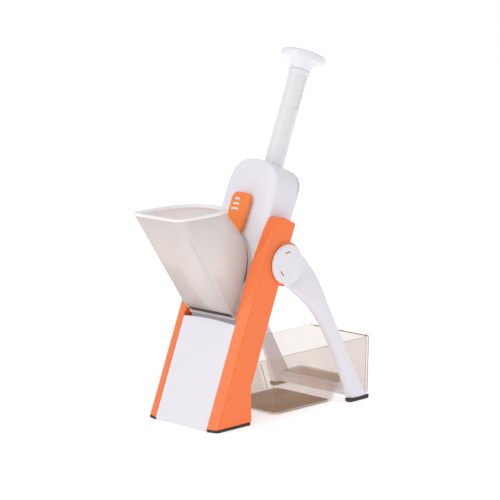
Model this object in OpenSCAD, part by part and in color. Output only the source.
// Upright mandoline slicer: a leaning body with a chute in front, a sprung plunger that drives a blade
// carriage down past the chute, a folding rear stand and a catch container.
// Frame: X to the right seen from the front, Y to the back, Z up, origin on the table at the middle.

/* [Body] */
// Backward lean of the body, degrees
lean = 22.85; // [22:0.05:24]
// Width over the two side frames
body_w = 111.2; // [110.6:0.1:111.6]
// Depth of a side frame, square to the lean
frame_depth = 36.6; // [35.6:0.1:37]
// Length of a side frame along the lean
frame_top = 252; // [246:1:256]
// Width of the front panel
panel_w = 83.2; // [82:0.1:83.4]
// Length of the front panel along the lean
panel_top = 122; // [116:1:123]
// Width of the head shell
head_w = 79; // [78.6:0.1:79.2]
// Top of the head along the lean
head_top = 311; // [310:0.5:313]

/* [Chute] */
// Width of the chute where it meets the body
chute_w = 72; // [68:0.5:73]
// Height of the chute's rim above the table
rim_z = 237; // [232:0.5:240]
// Width of the chute's rim
rim_w = 74; // [70:0.5:76]

/* [Plunger] */
// Diameter of the plunger rod
rod_d = 22; // [21:0.1:22]
// Top of the rod along the lean
rod_top = 430; // [425:1:432]
// Diameter of the palm cap
cap_d = 52; // [46:0.5:54]
// Travel of the plunger
stroke = 90; // [60:1:90]

/* [Blade carriage] */
// Thickness range that the first knob sets
ramp_travel = 4; // [2:0.5:4]
// Rise of the julienne teeth
comb_travel = 4; // [2:0.5:4]
// Diameter of the two setting knobs
knob_d = 26; // [20:0.5:28]

/* [Stand] */
// Diameter of the hub disc on each leg
hub_d = 45; // [43:0.5:45]
// Thickness of a leg
leg_t = 8.6; // [8:0.1:9]

/* [Container] */
// Height of the catch container
bin_h = 67; // [62:0.5:68]
// Width of its floor
bin_floor_w = 89; // [84:0.5:90]
// Width of its rim
bin_rim_w = 97; // [92:0.5:98]
// Wall thickness
bin_wall = 1.8; // [1.5:0.1:2.2]

/* [Hidden] */
$fn = 72;

foot_y = -109.21;                   // front corner of the side frames' feet
front_y = foot_y - 4.08;            // where the body's front plane meets the table
edge_x = body_w / 2;
wall = 2.5;
pad_h = 3;
chute_depth = 3;                    // where the chute's flange starts, behind the front plane
window_depth = 9;
carriage_depth = 11.9;
rod_depth = 33;
hub_s = 203.6;
hub_depth = 36;
hub_gap = 1.5;                      // between a side frame and its leg
leg_x = edge_x + hub_gap;
rod_foot = 288;                     // lower end of the rod, plunger up
spring_s = rod_foot - stroke - 1;   // top of the bridge that the spring stands on
ramp_back = 15;                     // back face of the ramp at its thinnest setting
comb_front = ramp_back + ramp_travel + comb_travel + 0.4;
knob_s = 158;
screw_x = 29;
screw_rows = [214, 276];
knob_x = 17;
bin_front = foot_y + 99.5;
bin_back = foot_y + 254;
bar_front = foot_y + 209.5;
bar_back = foot_y + 225.5;

// ---------- frames and helpers ----------

// Local frame of the leaning body: x across, y is depth behind the front plane, z runs up the lean.
module on_body() {
    translate([0, front_y, 0]) rotate([-lean, 0, 0]) children();
}

// A plate square to the depth, from an outline in (x, along the lean).
module plate(depth, t) {
    translate([0, depth + t, 0]) rotate([90, 0, 0]) linear_extrude(t) children();
}

// A slab square to X, from an outline in (depth, along the lean) or in (y, z).
module slab(x, t) {
    translate([x, 0, 0]) rotate([90, 0, 90]) linear_extrude(t) children();
}

// A round bar along the lean.
module upright(r, from, to, depth = rod_depth) {
    translate([0, depth, from]) cylinder(r = r, h = to - from);
}

// Everything above a height over the table.
module above(z) {
    intersection() {
        children();
        translate([-200, -300, z]) cube([400, 600, 600]);
    }
}

function arc(cx, cy, r, from, to, n = 10) =
    [for (i = [0:n]) let(a = from + (to - from) * i / n) [cx + r * cos(a), cy + r * sin(a)]];

function bezier(a, b, c, d, n = 12) =
    [for (i = [0:n]) let(t = i / n, u = 1 - t)
        u * u * u * a + 3 * u * u * t * b + 3 * u * t * t * c + t * t * t * d];

// Tombstone: flat foot, straight sides and an elliptical arch.
function tombstone(half, foot, spring, apex, n = 24) = concat(
    [[half, foot]],
    [for (i = [0:n]) let(a = 180 * i / n) [half * cos(a), spring + (apex - spring) * sin(a)]],
    [[-half, foot]]);

// ---------- side frames ----------

// Silhouette of a side frame in (depth, along the lean): straight column, flared foot, soft top.
module frame_side(inset = 0) {
    polygon([[inset, -5], [inset, 190], [5 + inset, 236], [8.5 + inset, 247 - inset],
        [12.5 + inset, 251 - inset], [17, frame_top - inset], [frame_depth - inset, frame_top - 1.5 - inset],
        [frame_depth - inset, 61.5 - inset / 2], [53 - inset, 22], [53 - inset, -20]]);
}

// Plan of the column in (x, depth): the front face turns back towards the outer edge.
module frame_plan() {
    polygon([[42, 0], [53.8, 3.1], [edge_x - 0.5, 3.8], [edge_x, 5], [edge_x, 60], [40.1, 60],
        [40.1, 12], [42, 12]]);
}

module side_frame() {
    above(pad_h) on_body() difference() {
        union() {
            difference() {
                intersection() {
                    slab(40, 20) frame_side();
                    translate([0, 0, -20]) linear_extrude(300) frame_plan();
                }
                difference() {
                    slab(39, edge_x - wall - 39) frame_side(wall);
                    translate([39, 0, -30]) cube([5.5, 11.8, 300]);
                    translate([39, 0, -30]) cube([30, 6.4, 300]);
                }
            }
            // strip that closes the gap to the head
            intersection() {
                slab(40.1, 1.95) frame_side();
                translate([38, 0, 127]) cube([8, 12, 140]);
            }
            translate([44, hub_depth, hub_s]) rotate([0, 90, 0]) cylinder(r = 25, h = edge_x + 1.1 - 44);
        }
        translate([40, hub_depth, hub_s]) rotate([0, 90, 0]) cylinder(r = 18.05, h = 30);
        translate([38, hub_depth, hub_s]) rotate([0, 90, 0]) cylinder(r = 20.6, h = 6);
        translate([edge_x - 0.4, hub_depth, hub_s]) rotate([0, 90, 0]) cylinder(r = 22, h = 3);
        translate([edge_x - 0.6, 4.5, 42]) cube([2, 9, 1.6]);
    }
}

module side_frame_right() {
    color("#fd8a4c") side_frame();
}

module side_frame_left() {
    color("#fd8a4c") mirror([1, 0, 0]) side_frame();
}

// ---------- body ----------

// Bowed cover below the chute, with an arched top edge.
module front_panel() {
    half = panel_w / 2;
    bow = 1.4;
    rise = 2;
    color("#ebe9f0") above(1.6) on_body() intersection() {
        linear_extrude(140) polygon(concat(
            [for (i = [-8:8]) let(x = half * i / 8) [x, -bow * (1 - pow(i / 8, 2))]],
            [[half, 2.6], [-half, 2.6]]));
        plate(-5, 10) polygon(concat([[-half, 0], [half, 0]],
            [for (i = [-8:8]) let(x = -half * i / 8) [x, panel_top + rise * (1 - pow(i / 8, 2))]]));
    }
}

// Arched outline of the head in (x, along the lean), down to the panel.
function head_outline(half, top, foot = 125) = concat([[half, foot]],
    [for (i = [0:16]) let(a = 90 * i / 16)
        [half * pow(cos(a), 2 / 2.6), 272 + (top - 272) * pow(sin(a), 2 / 2.6)]],
    [for (i = [16:-1:0]) let(a = 90 * i / 16)
        [-half * pow(cos(a), 2 / 2.6), 272 + (top - 272) * pow(sin(a), 2 / 2.6)]],
    [[-half, foot]]);

// Plan of the head in (x, depth): crowned front and chamfered back corners.
function head_plan(half, front, crown, back, cut) = concat(
    [for (i = [-8:8]) let(x = half * i / 8) [x, front - crown * (1 - pow(i / 8, 2))]],
    [[half, back - cut], [half - cut, back], [cut - half, back], [-half, back - cut]]);

module head_shell() {
    color("#ebe9f0") on_body() {
        head_skin();
        for (side = [-1, 1], s = screw_rows) difference() {
            union() {
                translate([side * screw_x, 38, s]) rotate([-90, 0, 0]) cylinder(r = 3.6, h = 7.8);
                translate([side * 33.6 - 3.5, 38, s - 1.5]) cube([7, 7.8, 3]);
            }
            translate([side * screw_x, 37, s]) rotate([-90, 0, 0]) cylinder(r = 1.5, h = 12);
        }
    }
}

module head_skin() {
    half = head_w / 2;
    difference() {
        intersection() {
            plate(0, 60) polygon(head_outline(half, head_top));
            linear_extrude(320) polygon(head_plan(half, 9, 6, 47.8, 5));
        }
        intersection() {
            plate(11.6, 60) polygon(head_outline(half - wall, head_top - wall, 100));
            linear_extrude(320) polygon(head_plan(half - wall, 11.6, 2, 60, 1));
        }
        plate(-5, 20) polygon(tombstone(chute_w / 2 + 1.2, 100, 170, 226.5));
        translate([-60, 24, 90]) cube([120, 40, 90]);
        translate([-60, 45.8, 90]) cube([120, 10, 240]);
        upright(12.7, 300, 330);
        translate([-4.5, -2, 258]) cube([9, 14, 8]);
    }
}

// Flat plate behind the chute that the carriage runs against, with the feed window in it.
module window_plate() {
    color("#dedce2") above(10) on_body() plate(window_depth, 2.5) difference() {
        polygon(tombstone(36.8, 10, 170, 226));
        polygon(tombstone(33.5, 131, 170, 222));
    }
}

module rear_shell() {
    half = head_w / 2;
    color("#ebe9f0") on_body() difference() {
        intersection() {
            plate(45.9, 2) polygon(head_outline(half - 0.1, head_top - 0.2, 205));
            linear_extrude(320) polygon(head_plan(half, 9, 6, 47.9, 5));
        }
        for (x = [-screw_x, screw_x], s = screw_rows) translate([x, 40, s]) rotate([-90, 0, 0])
            cylinder(r = 1.6, h = 12);
    }
}

// Two bars that hold the carriage against the window plate.
module guide_rails() {
    color("#b9b8bd") on_body()
        for (side = [-1, 1]) translate([side * 35.05 - 1.85, 21, 22.5]) cube([3.7, 2.9, 255]);
}

// Cross member at hub height that carries the spring.
module rear_bridge() {
    color("#dedce2") on_body() difference() {
        translate([-36.9, 31, spring_s - 12]) cube([73.8, 14.5, 12]);
        upright(5, spring_s - 20, spring_s + 5);
    }
}

module spring_post() {
    color("#c8c9cc") on_body() {
        upright(5, spring_s - 11, spring_s + 100);
        upright(3.6, spring_s + 100, spring_s + 103);
    }
}

// Sleeve that stands for the compression spring inside the hollow rod.
module return_spring() {
    color("#a9abb0") on_body() difference() {
        upright(7.6, spring_s + 0.3, rod_top - 8);
        upright(6.2, spring_s - 1, rod_top);
    }
}

module rod_bush() {
    color("#cfced4") on_body() difference() {
        upright(12.6, 300, head_top - 1);
        upright(rod_d / 2 + 0.08, 290, 320);
    }
}

// Floor member that ties the two feet together.
module base_tie() {
    color("#dedce2") difference() {
        translate([-52.5, front_y + 18, 4]) cube([105, 32, 7]);
        for (x = [-34, 0, 34]) translate([x - 14, front_y + 22, 3]) cube([28, 18, 5.5]);
        for (side = [-1, 1]) translate([side * 47, front_y + 44, 2]) cylinder(r = 1.6, h = 12);
    }
}

// Rubber shoe under one side frame.
module front_pad() {
    color("#3c3734") linear_extrude(pad_h)
        polygon([[42.4, front_y + 0.8], [54.4, front_y + 4.2], [56, front_y + 6.5], [56, front_y + 54.5],
            [54.5, front_y + 56], [42, front_y + 56]]);
}

module front_pads() {
    front_pad();
    mirror([1, 0, 0]) front_pad();
}

// Four screws in the rear shell and two under the base tie.
module frame_screws() {
    color("#a9abb0") {
        on_body() for (x = [-screw_x, screw_x], s = screw_rows) translate([x, 0, s]) rotate([-90, 0, 0]) {
            translate([0, 0, 39]) cylinder(r = 1.5, h = 8.9);
            translate([0, 0, 47.9]) cylinder(r = 3, h = 1.2);
        }
        for (side = [-1, 1]) translate([side * 47, front_y + 44, 2]) {
            translate([0, 0, 1.2]) cylinder(r = 3, h = 0.8);
            translate([0, 0, 2]) cylinder(r = 1.5, h = 8);
        }
    }
}

// ---------- chute ----------

// Outline of the rim in (x, y): round front corners and a round back.
function rim_outline(half, front, back) = concat(
    arc(half - 8, front + 8, 8, 0, -90),
    arc(8 - half, front + 8, 8, -90, -180),
    [for (i = [0:16]) let(a = 180 - 180 * i / 16) [half * cos(a), back - 40 + 40 * sin(a)]]);

// The chute's skin as a loft from the tombstone on the body, over a sill, to the level rim.
module chute_loft(inset) {
    half = chute_w / 2 - 2 - inset;
    hull() {
        on_body() {
            plate(chute_depth + 0.9 * (inset > 0 ? 1.2 : 0), 0.4) polygon(tombstone(half, 129.5 + inset, 170, 223 - inset));
            translate([-half, inset - 6, 133 + inset * 0.8]) cube([2 * half, 0.4, 0.4]);
        }
        translate([0, 0, rim_z - 0.5 + (inset > 0 ? 2 : 0)]) linear_extrude(0.5)
            polygon(rim_outline(rim_w / 2 - inset, front_y - 28 + inset, front_y + 58 - inset));
    }
}

module chute() {
    color([0.84, 0.79, 0.75, 0.6]) {
        difference() {
            chute_loft(0);
            chute_loft(2);
            on_body() plate(2.6, 9) polygon(tombstone(chute_w / 2 - 4, 132.5, 170, 221));
        }
        on_body() plate(chute_depth - 1.2, 6.8) difference() {
            polygon(tombstone(chute_w / 2 + 0.3, 127.2, 170, 225.4));
            polygon(tombstone(chute_w / 2 - 3.5, 132, 170, 221.5));
        }
    }
}

module chute_rim() {
    color("#f6f4f6") translate([0, 0, rim_z]) linear_extrude(3) difference() {
        polygon(rim_outline(rim_w / 2 + 3, front_y - 31, front_y + 61));
        polygon(rim_outline(rim_w / 2 - 2, front_y - 26, front_y + 56));
    }
}

// Release tab over the chute's arch; its prong reaches into a slot in the head.
module chute_latch() {
    half = 14;
    color("#ff8a3c") on_body() {
        plate(-4.5, 6.3) polygon(concat([[-half, 229.5], [half, 229.5]],
            arc(half - 8, 262, 8, 0, 90, 6), arc(8 - half, 262, 8, 90, 180, 6)));
        // rounded foot that it rocks on
        translate([-half, 0, 229.5]) rotate([0, 90, 0]) cylinder(r = 1.8, h = 2 * half);
        // skirt cut to follow the chute's arch
        plate(-4.5, 4.5) polygon([[-half, 229.6], [half, 229.6], [half, 224], [9, 227.2], [0, 228.6], [-9, 227.2],
            [-half, 224]]);
        translate([-3.5, 1.7, 260]) cube([7, 8, 3]);
    }
}

// ---------- plunger ----------

module plunger_rod() {
    color("#dcdbe0") on_body() difference() {
        upright(rod_d / 2, rod_foot, rod_top);
        upright(8.6, 280, rod_top - 7);
        // keyway on the right, round at its lower end
        translate([rod_d / 2 - 1.2, rod_depth - 2.5, 382]) cube([3, 5, 36]);
        translate([rod_d / 2 - 1.2, rod_depth, 382]) rotate([0, 90, 0]) cylinder(r = 2.5, h = 3);
    }
}

// Ring where the cap meets the rod.
module cap_collar() {
    color("#eceaf0") on_body() difference() {
        upright(12.2, 419, 424);
        upright(rod_d / 2 + 0.01, 410, 440);
    }
}

// Palm cap: a trumpet flare under a domed disc, turned about the rod.
module plunger_cap() {
    r = cap_d / 2;
    color("#f1f0f4") on_body() translate([0, rod_depth, 0]) difference() {
        rotate_extrude() polygon(concat(
            [[0, 424.2], [12.1, 424.2], [12.4, 427.5], [14, 430.8], [17.5, 433], [r - 3, 434.2]],
            arc(r - 2.6, 437, 2.6, -80, 0, 5), arc(r - 3.4, 440.6, 3.4, 0, 78, 5),
            [[r * 0.6, 444.9], [r * 0.3, 445.5], [0, 445.7]]));
        cylinder(r = rod_d / 2 + 0.01, h = rod_top + 0.02);
    }
}

// Collar that joins the rod to the top of the carriage.
module rod_bracket() {
    color("#cfced4") on_body() difference() {
        union() {
            translate([-14, 14.4, rod_foot]) cube([28, 24, 11.5]);
            translate([-14, 14.4, rod_foot - 4]) cube([28, 4, 4]);
        }
        upright(rod_d / 2 + 0.01, 280, 310);
    }
}

// ---------- blade carriage ----------

// Plan of the carriage's channel in (x, depth).
function channel(side) = [[side * 36.6, carriage_depth], [side * 36.6, 20.6], [side * 32.8, 20.6], [side * 32.8, 29],
    [0, 29], [0, 27], [side * 30.4, 27], [side * 30.4, 19.4], [side * 33.9, 19.4], [side * 33.9, carriage_depth]];

module carriage_frame() {
    color("#e4e3e8") on_body() difference() {
        union() {
            // open channel that holds the ramp, the comb and the knobs
            for (side = [-1, 1]) translate([0, 0, 128]) linear_extrude(58) polygon(channel(side));
            // closed foot
            translate([-32.8, carriage_depth, 118]) cube([65.6, 17.1, 10]);
            translate([-36.6, carriage_depth, 118]) cube([73.2, 8.7, 10]);
            // side rails up to the head
            for (x = [-36.6, 33.9]) translate([x, carriage_depth, 128]) cube([2.7, 8.7, 150]);
            // webs and the sloped roof that throws slices to the back
            for (x = [-32.8, 30.4]) slab(x, 2.4)
                polygon([[19.4, 186], [29, 186], [29, 200], [21, 219], [19.4, 219]]);
            for (x = [-34.2, 30.4]) translate([x, 19.4, 186]) cube([3.8, 1.2, 33]);
            slab(-32.8, 65.6) polygon([[27, 186], [29, 186], [29, 200], [21, 219], [19.4, 219], [19.4, 217.5], [27, 199.5]]);
            // landing plate above the blade
            translate([-36.6, 13, 229]) cube([73.2, 1.4, 49]);
            translate([-36.6, carriage_depth, 240.2]) cube([73.2, 2.5, 37.8]);
            translate([-20, carriage_depth, 277]) cube([40, 2.5, 22.5]);
        }
        for (x = [-knob_x, knob_x]) translate([x, 20, knob_s]) rotate([-90, 0, 0]) cylinder(r = 3.05, h = 12);
        for (x = [-24, 0, 24]) translate([x, 8, 236]) rotate([-90, 0, 0]) cylinder(r = 1.5, h = 12);
        // way past the spring and its post
        upright(8.6, 176, 226);
    }
}

// Blade with a slanted cutting edge, ground to a bevel on its back.
module slicing_blade() {
    color("#c9ccd1") on_body() difference() {
        plate(12.1, 0.9) difference() {
            polygon([[-33.8, 220.5], [33.8, 225.5], [33.8, 240], [-33.8, 240]]);
            for (x = [-24, 0, 24]) translate([x, 236]) circle(r = 1.5);
        }
        translate([-33.8, 12.1, 220.5]) rotate([0, -4.23, 0]) rotate([-24, 0, 0])
            translate([-2, 0.15, -6]) cube([74, 3, 8]);
    }
}

module blade_screws() {
    color("#a9abb0") on_body() for (x = [-24, 0, 24]) translate([x, 12, 236]) rotate([-90, 0, 0])
        cylinder(r = 1.5, h = 5);
}

// Feed plate below the blade, with ribs that food slides on and slots for the comb's teeth.
module ramp_plate() {
    color("#dfe0e5") on_body() difference() {
        union() {
            translate([-33.5, ramp_back - 1.8, 131]) cube([67, 1.8, 87.5]);
            for (x = [-27:6:27]) translate([x - 0.6, ramp_back - 2, 134]) cube([1.2, 0.3, 54]);
            translate([-knob_x, ramp_back - 0.2, knob_s]) rotate([-90, 0, 0]) cylinder(r = 6, h = 6.7);
        }
        translate([-knob_x, ramp_back, knob_s]) rotate([-90, 0, 0]) cylinder(r = 3.05, h = 12);
        for (x = [-27:4.5:27]) translate([x - 0.9, 12, 189.6]) cube([1.8, 4, 24.4]);
    }
}

// Knurled setting knob whose shaft passes through the carriage's back plate.
module knob(x, tip) {
    on_body() translate([x, 0, knob_s]) rotate([-90, 0, 0]) {
        translate([0, 0, tip]) cylinder(r = 3, h = 30 - tip);
        difference() {
            translate([0, 0, 29.3]) cylinder(r = knob_d / 2, h = 6.5);
            for (a = [0:20:340]) rotate(a) translate([knob_d / 2 + 0.7, 0, 29]) cylinder(r = 1.6, h = 8);
        }
        translate([-1.6, -knob_d / 2 + 3, 35]) cube([3.2, knob_d - 6, 3]);
    }
}

module thickness_knob() {
    color("#ff8a3c") knob(-knob_x, ramp_back + ramp_travel + 0.2);
}

module julienne_knob() {
    color("#ff8a3c") knob(knob_x, comb_front - comb_travel + 0.1);
}

// Row of upright teeth on a bar behind the ramp.
module julienne_comb() {
    color("#c9ccd1") on_body() {
        translate([-29.5, comb_front, 189]) cube([59, 3, 7]);
        difference() {
            translate([knob_x - 6, comb_front, 150]) cube([12, 3, 40]);
            translate([knob_x, 20, knob_s]) rotate([-90, 0, 0]) cylinder(r = 3.05, h = 12);
        }
        for (x = [-27:4.5:27]) slab(x - 0.45, 0.9)
            polygon([[comb_front + 0.5, 190], [comb_front + 0.5, 195], [comb_front - 2.8, 209.5],
                [comb_front - 6.2, 212], [comb_front - 6.2, 203]]);
    }
}

// ---------- stand ----------

// Outline of a leg in (y, z) from its front edge round the foot to its back edge.
module leg_outline(inset = 0) {
    y0 = foot_y;
    polygon(concat(
        bezier([y0 + 93 + inset, 159], [y0 + 106 + inset, 148], [y0 + 126 + inset, 135], [y0 + 139 + inset, 121], 6),
        bezier([y0 + 139.5 + inset, 120.5], [y0 + 160 + inset, 99], [y0 + 182 + inset, 60], [y0 + 200.5 + inset, 4.5], 9),
        bezier([y0 + 230.5 - inset, 4.5], [y0 + 204 - inset, 48], [y0 + 181 - inset, 96], [y0 + 172 - inset, 116], 9),
        bezier([y0 + 171.6 - inset, 117], [y0 + 163 - inset, 136], [y0 + 146 - inset, 172], [y0 + 128 - inset, 184], 8)));
}

// Slots through the disc for the pivot's hooks.
module hook_ring(r_in, r_out, span, x, t) {
    for (a = [97, 217, 337]) translate([x, 0, 0]) rotate([a - 90, 0, 0])
        translate([0, -span / 2, r_in]) cube([t, span, r_out - r_in]);
}

module at_hub() {
    hub_y = front_y + hub_depth * cos(lean) + hub_s * sin(lean);
    hub_z = hub_s * cos(lean) - hub_depth * sin(lean);
    translate([0, hub_y, hub_z]) children();
}

module leg() {
    difference() {
        union() {
            slab(leg_x, 5) leg_outline();
            slab(leg_x + 5, leg_t - 5) leg_outline(2);
            at_hub() translate([leg_x, 0, 0]) rotate([0, 90, 0]) cylinder(r = hub_d / 2, h = 5.5);
            at_hub() translate([leg_x - 1, 0, 0]) rotate([0, 90, 0]) cylinder(r = 21, h = 2);
        }
        at_hub() {
            hook_ring(13, 15, 7.4, leg_x - 2, 20);
            translate([leg_x - 3, 0, 0]) rotate([0, 90, 0]) cylinder(r = 18.01, h = 3.2);
        }
    }
}

module leg_right() {
    color("#e6e4ea") leg();
}

module leg_left() {
    color("#e6e4ea") mirror([1, 0, 0]) leg();
}

// Hollow pivot that turns in the side frame and clips through the leg's disc.
module hub_pivot() {
    at_hub() {
        difference() {
            union() {
                translate([43, 0, 0]) rotate([0, 90, 0]) cylinder(r = 18, h = leg_x - 43);
                translate([41, 0, 0]) rotate([0, 90, 0]) cylinder(r = 20, h = 2.6);
            }
            translate([40, 0, 0]) rotate([0, 90, 0]) cylinder(r = 11, h = 30);
        }
        hook_ring(13.1, 14.8, 7, leg_x - 1, 6);
    }
}

module hub_pivot_right() {
    color("#ff8a3c") hub_pivot();
}

module hub_pivot_left() {
    color("#ff8a3c") mirror([1, 0, 0]) hub_pivot();
}

module crossbar() {
    color("#e6e4ea") difference() {
        slab(-leg_x, 2 * leg_x) polygon([[bar_front, 4], [bar_back, 4], [bar_back, 13], [bar_back - 3, 16],
            [bar_front + 4, 16], [bar_front, 12]]);
        for (side = [-1, 1]) translate([side * leg_x, bar_front + 8, 9.5]) rotate([0, 90, 0])
            cylinder(r = 1.5, h = 24, center = true);
    }
}

module crossbar_screws() {
    color("#a9abb0") for (side = [-1, 1]) translate([side * (leg_x - 5.9), bar_front + 8, 9.5])
        rotate([0, 90, 0]) cylinder(r = 1.5, h = 11.6, center = true);
}

// Rubber shoe under one leg.
module stand_pad() {
    y0 = foot_y;
    slab(leg_x + 0.2, leg_t - 0.4) polygon([[y0 + 201, 0], [y0 + 229.5, 0], [y0 + 231.2, 1.5],
        [y0 + 231.2, 4.5], [y0 + 200, 4.5], [y0 + 200, 1.5]]);
}

module stand_pads() {
    color("#3c3734") {
        stand_pad();
        mirror([1, 0, 0]) stand_pad();
    }
}

// ---------- catch container ----------

// Tapered block: floor rectangle to rim rectangle with rounded corners.
module bin_block(inset, from, to) {
    function span(z) = let(k = z / bin_h) [
        (bin_floor_w + (bin_rim_w - bin_floor_w) * k) / 2 - inset,
        bin_front - 25.5 * k + inset,
        bin_back - 1 * k - inset];
    hull() for (z = [from, to]) let(s = span(z)) translate([0, 0, z - (z > 60 ? 0.2 : 0)]) linear_extrude(0.2)
        polygon(concat(arc(s[0] - 5, s[2] - 5, 5, 0, 90, 6), arc(5 - s[0], s[2] - 5, 5, 90, 180, 6),
            arc(5 - s[0], s[1] + 5, 5, 180, 270, 6), arc(s[0] - 5, s[1] + 5, 5, 270, 360, 6)));
}

// Tunnel in (y, z) that bridges the stand's crossbar.
module tunnel(grow) {
    slab(-60, 120) polygon([[bar_front - 18 - grow, -1], [bar_front - 8 - grow, 20 + grow],
        [bar_back + 4 + grow, 20 + grow], [bar_back + 6 + grow, -1]]);
}

module catch_container() {
    color([0.9, 0.84, 0.78, 0.4]) {
        difference() {
            bin_block(0, 0, bin_h);
            difference() {
                bin_block(bin_wall, bin_wall, bin_h + 4);
                tunnel(bin_wall);
            }
            tunnel(0);
        }
        for (side = [-1, 1]) translate([side * (bin_rim_w / 2 - 3), bin_back - 4.2, bin_h - 6]) cylinder(r = 1.6, h = 9);
    }
}

side_frame_right();
side_frame_left();
front_panel();
head_shell();
window_plate();
rear_shell();
guide_rails();
rear_bridge();
spring_post();
return_spring();
rod_bush();
base_tie();
front_pads();
frame_screws();
chute();
chute_rim();
chute_latch();
plunger_rod();
plunger_cap();
cap_collar();
rod_bracket();
carriage_frame();
slicing_blade();
blade_screws();
ramp_plate();
thickness_knob();
julienne_comb();
julienne_knob();
leg_right();
leg_left();
hub_pivot_right();
hub_pivot_left();
crossbar();
crossbar_screws();
stand_pads();
catch_container();
